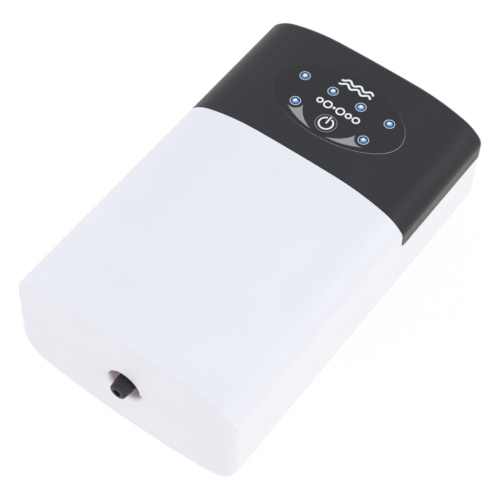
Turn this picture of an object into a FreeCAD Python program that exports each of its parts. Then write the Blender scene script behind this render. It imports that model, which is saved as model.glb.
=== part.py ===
import FreeCAD, Part
import math
import os

import Sketcher

V = FreeCAD.Vector

os.makedirs("parts", exist_ok=True)
doc = FreeCAD.newDocument("aquarium_air_pump")
sheet = doc.addObject("Spreadsheet::Sheet", "dims")

# Frame: +X to the right, +Y towards the rear cover, +Z up, origin under the middle on the ground.
# Every part is placed from the housing's own centre at the height of the parting line.
DIMS = {
    # housing shells
    "body_shift": 1.825, "seam_z": 24.5, "half_w": 42.32, "half_l": 68.66, "wall": 2.0,
    "seam_gap": 0.04, "end_round": 2.2, "top_z": 25.78, "top_r": 555.0, "shoulder_r": 64.85,
    "brow_r": 16.14, "edge_r": 4.2, "top_turn": 1.586, "brow_turn": 18.733, "keel_z": -23.24,
    "keel_r": 190.6, "bilge_r": 11.64,
    "lip_depth": 1.15, "lip_high": 1.6, "lip_play": 0.15,
    # rear cover
    "cap_y": 20.2, "skirt_z": 9.34, "skirt_round": 2.7, "cap_gap": 0.12,
    "tongue_t": 1.2, "tongue_reach": 4.0, "tongue_play": 0.25,
    # nozzle recess
    "recess_r": 6.2, "recess_deep": 8.0, "cup_wall": 1.6, "neck_r": 3.2, "scoop_round": 1.4,
    # screw posts and feet
    "post_x": 29.0, "post_y": 54.0, "post_r": 4.4, "boss_r": 3.5, "boss_top": 22.45,
    "pilot_r": 1.45, "clear_r": 1.7, "sink_r": 3.1, "sink_top": -15.8, "pad_r": 6.9,
    "pad_top": -16.5, "foot_pocket_r": 5.7, "foot_pocket_top": -18.6, "foot_r": 5.5,
    "foot_high": 5.9, "foot_round": 0.8,
    "screw_head_r": 2.8, "screw_head_t": 2.0, "screw_r": 1.4, "screw_long": 26.0,
    # control panel
    "oval_x": 0.15, "oval_y": 43.77, "oval_rx": 24.5, "oval_ry": 14.0, "oval_t": 0.6,
    "oval_rise": 0.1, "oval_play": 0.05, "button_x": 0.75, "button_y": 35.83, "button_r": 3.9,
    "button_hole_r": 4.0, "button_top": 25.98, "button_low": 22.2, "flange_r": 4.9, "flange_t": 1.2,
    "row_x": 0.4, "led_high_x": 16.78, "led_mid_x": 5.53, "led_low_x": 13.45,
    "led_row_y": 48.39, "led_low_y": 37.67, "led_r": 1.5, "led_rim_r": 1.9, "led_rim_t": 1.0, "led_base": 4.2,
    "led_dome_rise": 0.6, "leg_t": 0.5, "leg_pitch": 1.27, "bezel_r": 1.88, "bezel_in_r": 1.56,
    "bezel_rise": 0.15, "bezel_t": 1.0, "led_hole_r": 1.95,
    # control board and what stands on it
    "board_z": 16.0, "board_t": 1.6, "board_half_w": 24.5, "board_y": 27.0, "board_l": 37.0,
    "stand_x": 20.0, "stand_front": 30.0, "stand_rear": 61.5, "stand_r": 2.4,
    "stand_hole_r": 1.0, "board_hole_r": 1.4, "small_head_r": 2.0, "small_head_t": 1.4,
    "small_screw_r": 0.95, "small_screw_long": 5.5, "switch_w": 6.0, "switch_high": 3.5,
    "switch_well_r": 2.0, "plunger_r": 1.7, "plunger_low": 20.0,
    "chip_x": -12.0, "chip_y": 54.0, "chip_w": 8.7, "chip_l": 3.9, "chip_t": 1.5,
    "cap_x": 14.0, "cap_can_y": 55.0, "can_r": 3.15, "can_high": 8.0,
    "battery_plug_x": -18.5, "battery_plug_y": 33.0, "battery_plug_w": 7.0,
    "battery_plug_l": 6.4, "battery_plug_t": 6.0, "coil_plug_w": 8.0, "coil_plug_y": 28.0,
    "coil_plug_l": 4.6, "coil_plug_t": 5.6,
    # battery
    "cell_y": 36.2, "cell_z": -8.6, "cell_r": 9.2, "cell_half": 32.5, "rib_x": 22.0,
    "rib_t": 2.0, "tab_t": 0.3, "tab_w": 6.0, "tab_high": 5.0, "foam_w": 24.0, "foam_l": 9.0,
    # charging jack
    "jack_x": -16.0, "jack_z": -9.5, "jack_w": 9.0, "jack_l": 13.0, "jack_high": 10.0,
    "snout_r": 4.0, "jack_hole_r": 4.1, "jack_bore_r": 2.75, "jack_bore_deep": 9.5,
    "jack_pin_r": 1.0, "jack_pin_long": 9.0,
    # magnet core and coil
    "core_y": 3.0, "core_half_w": 17.0, "core_half_t": 6.0, "core_l": 22.0, "core_back": 5.0,
    "leg_half": 4.0, "side_leg": 4.0, "core_hole_r": 1.7, "core_screw_x": 14.8,
    "core_screw_y": 22.5, "flange_y": 4.2, "flange_gap": 13.1, "bobbin_flange_t": 1.0,
    "bobbin_half_w": 12.0, "bobbin_half_h": 13.0, "tube_half_w": 5.0, "tube_half_h": 7.0,
    "slot_half_w": 4.1, "slot_half_h": 6.1, "coil_half_w": 11.2, "coil_half_h": 12.2,
    "coil_gap": 0.1, "coil_round": 4.0,
    # pump frame, pivot and swinging arm
    "frame_z": -16.0, "frame_t": 2.0, "frame_x": -19.0, "frame_w": 53.0, "frame_y": -47.0,
    "frame_l": 73.0, "frame_hole_x": -16.0, "frame_hole_x2": 31.0, "frame_hole_y": -44.0,
    "frame_hole_mid_y": -0.5, "frame_hole_y2": 22.5, "frame_post_r": 3.2, "pivot_y": -40.0,
    "ear_z": 6.3, "ear_t": 2.5, "pivot_r": 1.5, "hub_bore_r": 1.56, "hub_r": 4.0,
    "hub_half": 6.0, "arm_half_t": 1.5,
    "arm_half_h": 5.0, "arm_l": 31.0, "holder_y": 30.0, "holder_l": 7.0, "holder_half_w": 9.0,
    "holder_half_h": 6.5, "magnet_w": 8.0, "magnet_l": 4.0, "magnet_half_h": 6.0,
    "magnet_gap": 0.4, "stud_boss_r": 4.0, "stud_boss_x": 4.0, "stud_hole_r": 1.3,
    "stud_r": 1.25, "stud_head_r": 2.5, "stud_head_t": 1.6, "stud_long": 10.0,
    # pump head, centred on the diaphragm axis
    "head_y": -25.0, "head_half": 13.0, "ring_x": 7.7, "ring_t": 1.5, "ring_r": 8.6,
    "head_x": 9.2, "head_t": 12.8, "rim_r": 11.6, "rim_deep": 2.8, "chamber_r": 8.8,
    "chamber_deep": 2.5, "port_y": 5.5, "port_r": 1.5, "pocket_r": 4.4, "inlet_pocket": 4.5,
    "plate_x": 22.0, "plate_t": 2.0, "gasket_t": 0.6, "cover_x": 24.6, "cover_t": 7.0,
    "outlet_pocket": 5.0, "inlet_well": 3.0, "corner": 10.4, "head_screw_r": 1.1,
    "head_screw_long": 23.0, "head_screw_head_r": 2.2, "head_screw_head_t": 1.5,
    "spigot_x": 27.6, "spigot_r": 2.15, "spigot_long": 4.0, "spigot_bore": 1.3,
    "flap_t": 0.6, "flap_half_w": 2.6, "flap_half_h": 3.2, "flap_gap": 0.3,
    "dia_face": 4.05, "dia_boss_r": 4.0, "dia_boss_end": 11.0, "dia_web_x": 9.7,
    "dia_web_t": 0.8, "dia_fold_mid": 6.5, "dia_fold_r": 1.2, "dia_rim_in": 8.9,
    "dia_rim_r": 11.5, "dia_rim_x": 9.2, "dia_rim_t": 2.8, "dia_hole_r": 1.3,
    # air path out
    "nozzle_r": 3.3, "nozzle_tip_r": 2.85, "nozzle_tip_y": 3.65, "nozzle_round": 0.8,
    "nozzle_bore": 1.4, "nozzle_neck_r": 3.0, "collar_r": 4.6, "collar_t": 1.6,
    "barb_r": 2.15, "barb_long": 3.3,
    "hose_r": 3.1, "hose_in_r": 2.2, "hose_start": -56.8, "hose_bend": 6.0,
    # air intake in the floor
    "slot_x": -31.6, "slot_w": 1.6, "slot_pitch": 3.2, "slot_y": -17.0, "slot_l": 14.0,
    "felt_x": -33.0, "felt_w": 13.0, "felt_y": -18.5, "felt_l": 17.0, "felt_z": -18.2,
    "felt_t": 3.0, "lead_r": 0.6, "lead_bend": 3.0, "short_bend": 2.0,
}

for row, (word, value) in enumerate(DIMS.items(), 1):
    sheet.set(f"A{row}", word)
    sheet.set(f"B{row}", str(value))
    sheet.setAlias(f"B{row}", word)
doc.recompute()

# Lamps on the panel, and the pump frame's screws with the depth of the post under each.
LAMPS = [
    ("row_x - led_high_x", "led_row_y"), ("row_x - led_mid_x", "led_row_y"),
    ("row_x + led_mid_x", "led_row_y"), ("row_x + led_high_x", "led_row_y"),
    ("button_x - led_low_x", "led_low_y"), ("button_x + led_low_x", "led_low_y"),
]
FRAME_SCREWS = [
    ("frame_hole_x", "frame_hole_y", "21.6"), ("frame_hole_x", "frame_hole_mid_y", "21.6"),
    ("frame_hole_x2", "frame_hole_y", "20"), ("frame_hole_x2", "frame_hole_y2", "20"),
]

parts = []


def num(text):
    """Value of a sum of sheet words and plain numbers, such as 'wall + 2'."""
    total = 0.0
    sign = 1
    for item in text.split():
        if item in ("+", "-"):
            sign = 1 if item == "+" else -1
        else:
            total += sign * (DIMS[item] if item in DIMS else float(item))
            sign = 1
    return total


def link(text):
    """The same sum as an expression that reads the sheet."""
    words = [f"dims.{item}" if item in DIMS else item for item in text.split()]
    return " ".join(words)


def flip(text):
    """The negative of a sum, term by term."""
    swapped = {"+": "-", "-": "+"}
    return "0 - " + " ".join(swapped.get(item, item) for item in text.split())


def bind(target, path, text):
    target.setExpression(path, link(text))


def new_body(label, x="0", y="0", z="0", yaw=0):
    body = doc.addObject("PartDesign::Body", label)
    body.Label = label
    body.AllowCompound = True
    body.Placement.Rotation = FreeCAD.Rotation(V(0, 0, 1), yaw)
    bind(body, "Placement.Base.x", x)
    bind(body, "Placement.Base.y", f"{y} + body_shift")
    bind(body, "Placement.Base.z", f"{z} + seam_z")
    parts.append(body)
    return body


AXES = {
    "x": FreeCAD.Rotation(V(0, 1, 0), 90),
    "-x": FreeCAD.Rotation(V(0, 1, 0), -90),
    "y": FreeCAD.Rotation(V(1, 0, 0), -90),
    "z": FreeCAD.Rotation(),
}


def put(feature, at, axis="z"):
    feature.Placement = FreeCAD.Placement(V(), AXES[axis])
    for letter, text in zip("xyz", at):
        bind(feature, f"Placement.Base.{letter}", text)


def cylinder(body, kind, radius, height, at=("0", "0", "0"), axis="z"):
    feature = body.newObject(f"PartDesign::{kind}Cylinder", "Cylinder")
    bind(feature, "Radius", radius)
    bind(feature, "Height", height)
    put(feature, at, axis)
    return feature


def block(body, kind, size, corner):
    feature = body.newObject(f"PartDesign::{kind}Box", "Box")
    for name, text in zip(("Length", "Width", "Height"), size):
        bind(feature, name, text)
    put(feature, corner)
    return feature


def sketch(body, role, away="0"):
    plane = [f for f in body.Origin.OriginFeatures if f.Role == role][0]
    made = body.newObject("Sketcher::SketchObject", "Outline")
    made.AttachmentSupport = [(plane, "")]
    made.MapMode = "FlatFace"
    bind(made, "AttachmentOffset.Base.z", away)
    return made


def pin_point(sk, geo, end, x, y):
    """Hold one point of a sketch at a bound distance from the sketch's origin."""
    for kind, text in (("DistanceX", x), ("DistanceY", y)):
        index = sk.addConstraint(Sketcher.Constraint(kind, -1, 1, geo, end, num(text)))
        bind(sk, f"Constraints[{index}]", text)


def radius_of(sk, geo, text):
    index = sk.addConstraint(Sketcher.Constraint("Radius", geo, num(text)))
    bind(sk, f"Constraints[{index}]", text)


def polygon(sk, points):
    first = sk.GeometryCount
    spots = [V(num(x), num(y), 0) for x, y in points]
    count = len(spots)
    for i in range(count):
        sk.addGeometry(Part.LineSegment(spots[i], spots[(i + 1) % count]))
    for i in range(count):
        after = first + (i + 1) % count
        sk.addConstraint(Sketcher.Constraint("Coincident", first + i, 2, after, 1))
    for i, (x, y) in enumerate(points):
        pin_point(sk, first + i, 1, x, y)


def rectangle(sk, x0, x1, y0, y1):
    polygon(sk, [(x0, y0), (x1, y0), (x1, y1), (x0, y1)])


def circle(sk, radius, x="0", y="0"):
    geo = sk.addGeometry(Part.Circle(V(num(x), num(y), 0), V(0, 0, 1), num(radius)))
    pin_point(sk, geo, 3, x, y)
    radius_of(sk, geo, radius)


def arc(sk, centre, radius, start, stop):
    ring = Part.Circle(centre, V(0, 0, 1), radius)
    return sk.addGeometry(Part.ArcOfCircle(ring, start, stop))


def swell(body, kind, sk, length, both=False, back=False):
    """A pad or pocket of a sketch."""
    feature = body.newObject(f"PartDesign::{kind}", kind)
    feature.Profile = sk
    bind(feature, "Length", length)
    feature.Midplane = both
    feature.Reversed = back
    return feature


def turned(body, points, axis):
    """A solid of revolution: outline in the XZ plane, spun about that plane's V or H axis."""
    sk = sketch(body, "XZ_Plane")
    polygon(sk, points)
    feature = body.newObject("PartDesign::Revolution", "Turned")
    feature.Profile = sk
    feature.ReferenceAxis = (sk, [f"{axis}_Axis"])
    feature.Angle = 360
    return feature


def soften(body, kind, size, test):
    """Fillet or chamfer the edges of the body's last feature whose middle passes the test."""
    doc.recompute()
    last = body.Tip
    names = []
    for index, edge in enumerate(last.Shape.Edges, 1):
        middle = edge.valueAt((edge.FirstParameter + edge.LastParameter) / 2)
        if test(middle, edge):
            names.append(f"Edge{index}")
    feature = body.newObject(f"PartDesign::{kind}", kind)
    feature.Base = (last, names)
    bind(feature, "Radius" if kind == "Fillet" else "Size", size)
    return feature


def section(sk, side, grow, rim):
    """The housing's cross-section above (side 1) or below (side -1) the parting line.

    grow is added to the outside all round, rim is the height of the straight closing edge.
    """
    if side > 0:
        pole, words = "top_z", ["top_r", "shoulder_r", "brow_r", "edge_r"]
        turns = [0, math.radians(DIMS["top_turn"]), math.radians(DIMS["brow_turn"])]
    else:
        pole, words = "keel_z", ["keel_r", "bilge_r"]
        turns = [0]
    radii = [DIMS[word] for word in words]
    centres = [V(0, DIMS[pole] - side * radii[0], 0)]
    for i in range(1, len(radii)):
        step = radii[i - 1] - radii[i]
        if i == len(turns):
            turns.append(math.asin((DIMS["half_w"] - radii[i] - centres[-1].x) / step))
        centres.append(centres[-1] + V(step * math.sin(turns[i]), side * step * math.cos(turns[i]), 0))
    turns.append(math.pi / 2)
    base = 0 if side > 0 else math.pi
    quarter = base + math.pi / 2
    order = list(range(len(radii) - 1, 0, -1)) + list(range(len(radii)))
    for place, i in enumerate(order):
        first_half = place < len(radii) - 1
        across = side if first_half else -side
        centre = V(across * centres[i].x, centres[i].y, 0)
        low = -turns[i + 1] if first_half or i == 0 else turns[i]
        high = -turns[i] if first_half else turns[i + 1]
        arc(sk, centre, radii[i] + num(grow), quarter + low, quarter + high)
        radius_of(sk, place, f"{words[i]} + {grow}")
    count = len(order)
    wide = side * num(f"half_w + {grow}")
    wall_y, rim_y = centres[-1].y, num(rim)
    ends = [V(-wide, wall_y, 0), V(-wide, rim_y, 0), V(wide, rim_y, 0), V(wide, wall_y, 0)]
    for start, stop in zip(ends, ends[1:]):
        sk.addGeometry(Part.LineSegment(start, stop))
    for i in range(count + 3):
        after = (i + 1) % (count + 3)
        sk.addConstraint(Sketcher.Constraint("Coincident", i, 2, after, 1))
    pin_point(sk, len(radii) - 1, 3, "0", f"{pole} {'-' if side > 0 else '+'} {words[0]}")
    right = f"half_w + {grow}"
    left = flip(right)
    pin_point(sk, count, 2, left if side > 0 else right, rim)
    pin_point(sk, count + 2, 1, right if side > 0 else left, rim)
    sk.addConstraint(Sketcher.Constraint("Vertical", count))
    sk.addConstraint(Sketcher.Constraint("Vertical", count + 2))


def crown_drop(x):
    """How far the top surface has fallen below its middle at x."""
    turn = math.radians(DIMS["top_turn"])
    if abs(x) <= DIMS["top_r"] * math.sin(turn):
        return DIMS["top_r"] - math.sqrt(DIMS["top_r"] ** 2 - x * x)
    step = DIMS["top_r"] - DIMS["shoulder_r"]
    across = abs(x) - step * math.sin(turn)
    return DIMS["top_r"] - step * math.cos(turn) - math.sqrt(DIMS["shoulder_r"] ** 2 - across ** 2)


def shell(body, side):
    """Rounded half housing with a hollow inside."""
    outer = sketch(body, "XZ_Plane")
    section(outer, side, "0", "seam_gap" if side > 0 else "0 - seam_gap")
    swell(body, "Pad", outer, "half_l + half_l", both=True)
    end = DIMS["half_l"]
    flat = DIMS["seam_gap"] + 0.01
    soften(body, "Fillet", "end_round", lambda p, e: abs(abs(p.y) - end) < 0.01 and abs(p.z) > flat)
    inner = sketch(body, "XZ_Plane")
    section(inner, side, "0 - wall", "0 - 2" if side > 0 else "2")
    swell(body, "Pocket", inner, "half_l + half_l - wall - wall", both=True)


def half_cup(body, side):
    """Half of the round recess that the nozzle stands in."""
    length = "recess_deep + cup_wall"
    cylinder(body, "Additive", "recess_r + cup_wall", length, ("0", "0 - half_l + 0.5", "0"), "y")
    low = "0 - 12 + seam_gap" if side > 0 else "0 - seam_gap"
    block(body, "Subtractive", ("24", "14", "12"), ("0 - 12", "0 - half_l - 1", low))


def bore_cup(body):
    cylinder(body, "Subtractive", "recess_r", "recess_deep + 1", ("0", "0 - half_l - 1", "0"), "y")
    cylinder(body, "Subtractive", "neck_r", "12", ("0", "0 - half_l", "0"), "y")


def corners_xy():
    for across in ("", "0 - "):
        for along in ("", "0 - "):
            yield f"{across}post_x", f"{along}post_y"


def stepped_outline(sk, far, shift, wide):
    """Side view of the cover's split: everything beyond it (far) or everything before it."""
    y = f"cap_y {shift} cap_gap"
    z = f"skirt_z {shift} cap_gap"
    if far:
        tail = [("half_l + 5", z), ("half_l + 5", "top_z + 5"), (y, "top_z + 5")]
    else:
        tail = [("half_l + 5", z), ("half_l + 5", "0 - 3"), ("0 - half_l - 5", "0 - 3"),
                ("0 - half_l - 5", "top_z + 5"), (y, "top_z + 5")]
    chain = [(f"{y} + {wide}", z)] + tail + [(y, f"{z} + {wide}")]
    spots = [V(num(a), num(b), 0) for a, b in chain]
    for start, stop in zip(spots, spots[1:]):
        sk.addGeometry(Part.LineSegment(start, stop))
    count = len(spots) - 1
    centre = V(num(f"{y} + {wide}"), num(f"{z} + {wide}"), 0)
    arc(sk, centre, num(wide), math.pi, 1.5 * math.pi)
    for i in range(count - 1):
        sk.addConstraint(Sketcher.Constraint("Coincident", i, 2, i + 1, 1))
    sk.addConstraint(Sketcher.Constraint("Coincident", count - 1, 2, count, 1))
    sk.addConstraint(Sketcher.Constraint("Coincident", count, 2, 0, 1))
    for i, (a, b) in enumerate(chain[:-1]):
        pin_point(sk, i, 1, a, b)
    pin_point(sk, count, 1, *chain[-1])
    radius_of(sk, count, wide)


def upper_shell():
    body = new_body("upper_shell")
    shell(body, 1)
    opening = sketch(body, "YZ_Plane")
    stepped_outline(opening, True, "-", "skirt_round")
    swell(body, "Pocket", opening, "100", both=True)
    rim = sketch(body, "XY_Plane")
    across, along = "half_w - lip_depth + lip_play", "half_l - lip_depth + lip_play"
    rectangle(rim, flip(across), across, flip(along), along)
    swell(body, "Pocket", rim, "lip_high + seam_gap", back=True)
    half_cup(body, 1)
    for side in ("", "0 - "):
        at = (f"{side}post_x", "0 - post_y", "lip_high + 0.2")
        cylinder(body, "Additive", "boss_r", "boss_top - lip_high - 0.2", at)
        cylinder(body, "Subtractive", "pilot_r", "12", at)
    bore_cup(body)


def lower_shell():
    body = new_body("lower_shell")
    shell(body, -1)
    lip = sketch(body, "XY_Plane", "0 - 1")
    for inset in ("lip_depth", "wall"):
        across, along = f"half_w - {inset}", f"half_l - {inset}"
        rectangle(lip, flip(across), across, flip(along), along)
    swell(body, "Pad", lip, "lip_high + 0.8")
    half_cup(body, -1)
    floor_features(body)
    bore_cup(body)
    front = -DIMS["half_l"]
    soften(body, "Fillet", "scoop_round", lambda p, e: abs(p.y - front) < 0.01 and p.z < -1
           and math.hypot(p.x, p.z) < DIMS["recess_r"] + 0.1)


def floor_features(body):
    for x, y in corners_xy():
        cylinder(body, "Additive", "pad_r", "pad_top + 19.5", (x, y, "0 - 19.5"))
        cylinder(body, "Additive", "post_r", "17 - seam_gap + lip_high", (x, y, "0 - 17"))
    for x, y in corners_xy():
        cylinder(body, "Subtractive", "foot_pocket_r", "foot_pocket_top + 27", (x, y, "0 - 27"))
        cylinder(body, "Subtractive", "sink_r", "sink_top + 19", (x, y, "0 - 19"))
        cylinder(body, "Subtractive", "clear_r", "22", (x, y, "0 - 19"))
    for x, y, foot in FRAME_SCREWS:
        cylinder(body, "Additive", "frame_post_r", f"{foot} + frame_z", (x, y, f"0 - {foot}"))
        cylinder(body, "Subtractive", "stand_hole_r", "5", (x, y, "frame_z - 4.4"))
    for x in ("rib_x - 1", "0 - rib_x - 1"):
        block(body, "Additive", ("rib_t", "16.4", "9.4"), (x, "cell_y - 8.2", "0 - 21.4"))
    cylinder(body, "Subtractive", "cell_r + 0.1", "60", ("0 - 30", "cell_y", "cell_z"), "x")
    cylinder(body, "Subtractive", "jack_hole_r", "10", ("jack_x", "half_l - 5", "jack_z"), "y")
    for i in range(4):
        corner = ("slot_x" + " + slot_pitch" * i, "slot_y", "0 - 24")
        block(body, "Subtractive", ("slot_w", "slot_l", "8"), corner)


def rear_cap():
    """Cover over the rear top: skin, joint lip, board posts, screw posts and panel openings."""
    body = new_body("cap_blank")
    parts.remove(body)
    outer = sketch(body, "XZ_Plane")
    section(outer, 1, "0", "seam_gap")
    swell(body, "Pad", outer, "half_l + half_l", both=True)
    end = DIMS["half_l"]
    soften(body, "Fillet", "end_round", lambda p, e: abs(abs(p.y) - end) < 0.01 and p.z > 0.2)
    inner = sketch(body, "XZ_Plane")
    section(inner, 1, "0 - wall", "0 - 2")
    swell(body, "Pocket", inner, "half_l + half_l - wall - wall", both=True)
    split = sketch(body, "YZ_Plane")
    stepped_outline(split, False, "+", "skirt_round")
    swell(body, "Pocket", split, "100", both=True)
    for side in ("", "0 - "):
        at = (f"{side}post_x", "post_y", "lip_high + 0.2")
        cylinder(body, "Additive", "boss_r", "boss_top - lip_high - 0.2", at)
        cylinder(body, "Subtractive", "pilot_r", "12", at)
        for y in ("stand_front", "stand_rear"):
            at = (f"{side}stand_x", y, "board_z + board_t")
            cylinder(body, "Additive", "stand_r", "6.6", at)
            cylinder(body, "Subtractive", "stand_hole_r", "4.5", at)
    tools = [oval_patch("oval_seat", "1", "oval_play")]
    tools.append(hole("button_hole", "button_hole_r", "button_x", "button_y"))
    tools += [hole(f"lamp_hole_{i}", "led_hole_r", x, y) for i, (x, y) in enumerate(LAMPS, 1)]
    cutter = doc.addObject("Part::MultiFuse", "cap_cuts")
    cutter.Shapes = tools
    lip = joint_lip()
    joined = doc.addObject("Part::Fuse", "cap_with_lip")
    joined.Base = body
    joined.Tool = lip
    made = doc.addObject("Part::Cut", "rear_cap")
    made.Base = joined
    made.Tool = cutter
    made.Label = "rear_cap"
    parts.append(made)


def settle(feature, y="0", z="0"):
    """Place a stand-alone feature from the housing's centre."""
    bind(feature, "Placement.Base.y", f"{y} + body_shift")
    bind(feature, "Placement.Base.z", f"{z} + seam_z")
    return feature


def hole(name, radius, x, y):
    made = doc.addObject("Part::Cylinder", name)
    bind(made, "Radius", radius)
    bind(made, "Height", "12")
    bind(made, "Placement.Base.x", x)
    return settle(made, y, "20")


def sleeve(name, grow, low, y, length):
    """The housing's upper cross-section drawn out along Y over a length."""
    holder = new_body(name, "0", y)
    parts.remove(holder)
    outline = sketch(holder, "XZ_Plane")
    section(outline, 1, grow, low)
    swell(holder, "Pad", outline, length, back=True)
    return holder


def difference(name, base, tool):
    made = doc.addObject("Part::Cut", name)
    made.Base = base
    made.Tool = tool
    return made


def joint_lip():
    """Lip on the cover that reaches under the front shell's edge."""
    start = "cap_y - tongue_reach"
    outer = sleeve("lip_outer", "0 - wall - tongue_play", "skirt_z + 1.5", start, "tongue_reach + 3")
    grow = "0 - wall - tongue_play - tongue_t"
    inner = sleeve("lip_inner", grow, "0", f"{start} - 1", "tongue_reach + 8")
    bridge = sleeve("lip_bridge", "0 - wall + 0.3", "skirt_z + 2", "cap_y + 1.5", "2.5")
    joined = doc.addObject("Part::Fuse", "lip_joined")
    joined.Base = outer
    joined.Tool = bridge
    return difference("joint_lip", joined, inner)


def oval_patch(name, rise, play):
    """Oval slice of the cover's curved top skin."""
    upper = sleeve(f"{name}_upper", rise, "10", "oval_y - 15", "30")
    lower = sleeve(f"{name}_lower", "0 - oval_t", "5", "oval_y - 16", "32")
    slice_ = difference(f"{name}_slice", upper, lower)
    oval = doc.addObject("Part::Ellipse", f"{name}_oval")
    bind(oval, "MajorRadius", f"oval_rx + {play}")
    bind(oval, "MinorRadius", f"oval_ry + {play}")
    bind(oval, "Placement.Base.x", "oval_x")
    settle(oval, "oval_y", "15")
    prism = doc.addObject("Part::Extrusion", f"{name}_prism")
    prism.Base = oval
    prism.DirMode = "Custom"
    prism.Dir = V(0, 0, 1)
    prism.Solid = True
    bind(prism, "LengthFwd", "20")
    made = doc.addObject("Part::Common", f"{name}_patch")
    made.Base = slice_
    made.Tool = prism
    return made


def panel_overlay():
    patch = oval_patch("overlay", "oval_rise", "0")
    tools = [hole("overlay_button_hole", "button_hole_r", "button_x", "button_y")]
    tools += [hole(f"overlay_hole_{i}", "led_hole_r", x, y) for i, (x, y) in enumerate(LAMPS, 1)]
    cutter = doc.addObject("Part::MultiFuse", "overlay_cuts")
    cutter.Shapes = tools
    made = difference("panel_overlay", patch, cutter)
    made.Label = "panel_overlay"
    parts.append(made)


def power_button():
    body = new_body("power_button", "button_x", "button_y", "button_low")
    cylinder(body, "Additive", "flange_r", "flange_t")
    cylinder(body, "Additive", "button_r", "button_top - button_low")
    top = DIMS["button_top"] - DIMS["button_low"]
    soften(body, "Fillet", "0.12", lambda p, e: abs(p.z - top) < 0.01)


def lamp(label, x, y):
    """Round lamp on two legs, its zero at the cover's surface."""
    drop = crown_drop(num(x))
    body = new_body(label, x, y, f"top_z - {drop:.3f}")
    sk = sketch(body, "XZ_Plane")
    low, step = "0 - led_base", "0 - led_base + led_rim_t"
    dome = num("led_dome_rise - led_r")
    corners = [("0", low), ("led_rim_r", low), ("led_rim_r", step), ("led_r", step),
               ("led_r", "led_dome_rise - led_r")]
    spots = [V(num(a), num(b), 0) for a, b in corners]
    for start, stop in zip(spots, spots[1:]):
        sk.addGeometry(Part.LineSegment(start, stop))
    arc(sk, V(0, dome, 0), num("led_r"), 0, math.pi / 2)
    sk.addGeometry(Part.LineSegment(V(0, num("led_dome_rise"), 0), spots[0]))
    for i in range(6):
        sk.addConstraint(Sketcher.Constraint("Coincident", i, 2, (i + 1) % 6, 1))
    for i, (a, b) in enumerate(corners):
        pin_point(sk, i, 1, a, b)
    radius_of(sk, 4, "led_r")
    spin = body.newObject("PartDesign::Revolution", "Lens")
    spin.Profile = sk
    spin.ReferenceAxis = (sk, ["V_Axis"])
    spin.Angle = 360
    reach = f"top_z - {drop:.3f} - board_z - board_t - led_base"
    for side in ("leg_pitch - leg_t", "0 - leg_pitch"):
        corner = (side, "0 - 0.25", f"0 - top_z + {drop:.3f} + board_z + board_t")
        block(body, "Additive", ("leg_t", "leg_t", reach), corner)


def led_bezels():
    body = new_body("led_bezels")
    for x, y in LAMPS:
        drop = crown_drop(num(x))
        low = f"top_z - {drop:.3f} + bezel_rise - bezel_t"
        cylinder(body, "Additive", "bezel_r", "bezel_t", (x, y, low))
        cylinder(body, "Subtractive", "bezel_in_r", "bezel_t + 2", (x, y, f"{low} - 1"))


def control_board():
    body = new_body("control_board", "0", "board_y", "board_z")
    size = ("board_half_w + board_half_w", "board_l", "board_t")
    block(body, "Additive", size, ("0 - board_half_w", "0", "0"))
    for x in ("stand_x", "0 - stand_x"):
        for y in ("stand_front - board_y", "stand_rear - board_y"):
            cylinder(body, "Subtractive", "board_hole_r", "4", (x, y, "0 - 1"))


def board_screws():
    body = new_body("board_screws", "0", "0", "board_z")
    for x in ("stand_x", "0 - stand_x"):
        for y in ("stand_front", "stand_rear"):
            cylinder(body, "Additive", "small_head_r", "small_head_t", (x, y, "0 - small_head_t"))
            cylinder(body, "Additive", "small_screw_r", "small_screw_long", (x, y, "0 - 0.2"))


def tact_switch():
    body = new_body("tact_switch", "button_x", "button_y", "board_z + board_t")
    block(body, "Additive", ("switch_w", "switch_w", "switch_high"), ("0 - 3", "0 - 3", "0"))
    cylinder(body, "Subtractive", "switch_well_r", "4", ("0", "0", "1.2"))


def switch_plunger():
    body = new_body("switch_plunger", "button_x", "button_y", "plunger_low")
    cylinder(body, "Additive", "plunger_r", "button_low - plunger_low")


def boxy(label, x, y, z, size):
    body = new_body(label, x, y, z)
    block(body, "Additive", size, ("0", "0", "0"))
    return body


def board_parts():
    boxy("driver_chip", "chip_x", "chip_y", "board_z + board_t", ("chip_w", "chip_l", "chip_t"))
    can = new_body("storage_capacitor", "cap_x", "cap_can_y", "board_z - can_high")
    cylinder(can, "Additive", "can_r", "can_high")
    soften(can, "Fillet", "0.6", lambda p, e: abs(p.z) < 0.01)
    boxy("battery_plug", "battery_plug_x", "battery_plug_y", "board_z - battery_plug_t",
         ("battery_plug_w", "battery_plug_l", "battery_plug_t"))
    boxy("coil_plug", "0 - 4", "coil_plug_y", "board_z - coil_plug_t",
         ("coil_plug_w", "coil_plug_l", "coil_plug_t"))


def charge_jack():
    body = new_body("charge_jack", "jack_x", "half_l", "jack_z")
    size = ("jack_w", "jack_l", "jack_high")
    block(body, "Additive", size, ("0 - 4.5", "0 - jack_l - wall - 0.1", "0 - 5"))
    cylinder(body, "Additive", "snout_r", "wall + 1", ("0", "0 - wall - 1", "0"), "y")
    cylinder(body, "Subtractive", "jack_bore_r", "jack_bore_deep + 1", ("0", "0 - jack_bore_deep", "0"), "y")
    soften(body, "Chamfer", "0.3", lambda p, e: abs(p.y) < 0.01)
    pin = new_body("charge_jack_pin", "jack_x", "half_l", "jack_z")
    cylinder(pin, "Additive", "jack_pin_r", "jack_pin_long", ("0", "0 - jack_bore_deep", "0"), "y")
    tip = DIMS["jack_pin_long"] - DIMS["jack_bore_deep"]
    soften(pin, "Fillet", "0.5", lambda p, e: abs(p.y - tip) < 0.01)


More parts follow.
